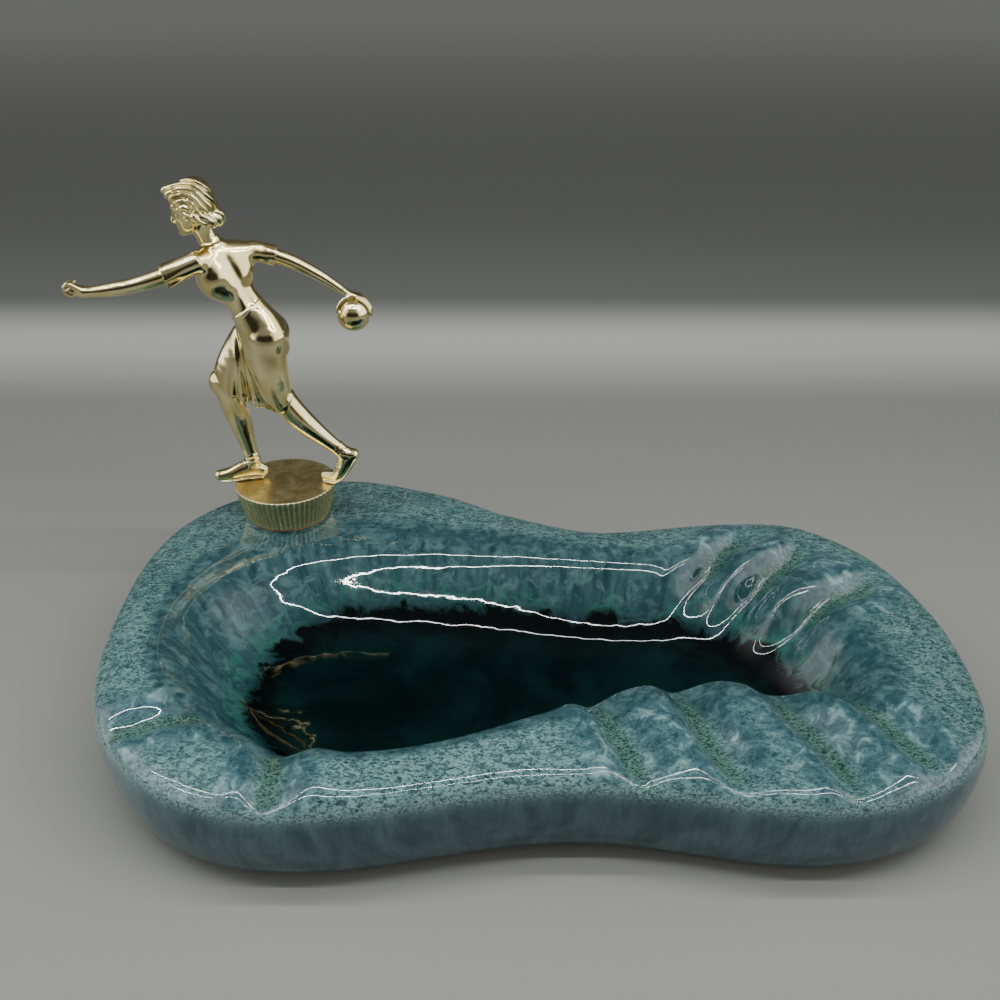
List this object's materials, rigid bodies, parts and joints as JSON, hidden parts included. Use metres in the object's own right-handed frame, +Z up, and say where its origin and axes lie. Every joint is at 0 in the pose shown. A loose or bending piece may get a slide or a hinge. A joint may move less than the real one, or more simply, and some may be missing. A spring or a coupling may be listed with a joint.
{
  "type": "bowling trophy dish",
  "caption": "Glazed free-form ceramic dish with a plated figure of a bowler on a small fluted plinth bolted through its back rim.",
  "frame": {"origin": "on the table, under the middle of the whole object's box", "axes": "+X along the dish from the bowler's forward hand towards the folded end, +Y towards the back rim that carries the figure, +Z up"},
  "size_m": [0.2923, 0.188, 0.1615],
  "materials": {
    "ceramic_glaze": "gloss",
    "gold_plate": "polished",
    "steel_hardware": "satin",
    "cork": "matte",
    "rubber": "matte",
    "felt": "matte"
  },
  "bodies": {
    "dish": {"ceramic_dish": "ceramic_glaze", "plinth_gasket": "cork", "rubber_washer": "rubber", "felt_pad_back_left": "felt", "felt_pad_back_right": "felt", "felt_pad_front_left": "felt", "felt_pad_front_right": "felt"},
    "figure": {"plinth": "gold_plate", "bowler_body": "gold_plate", "forward_arm": "gold_plate", "ball_arm": "gold_plate", "bowling_ball": "gold_plate", "front_foot_peg": "gold_plate", "rear_foot_peg": "gold_plate", "mounting_stud": "steel_hardware", "steel_washer": "steel_hardware", "lock_washer": "steel_hardware", "hex_nut": "steel_hardware"}
  },
  "joints": [
    {"name": "figure_swivel", "type": "hinge", "parent": "dish", "child": "figure", "pos_m": [-0.083, 0.061, 0.0355], "axis": [0, 0, 1], "continuous": true}
  ]
}
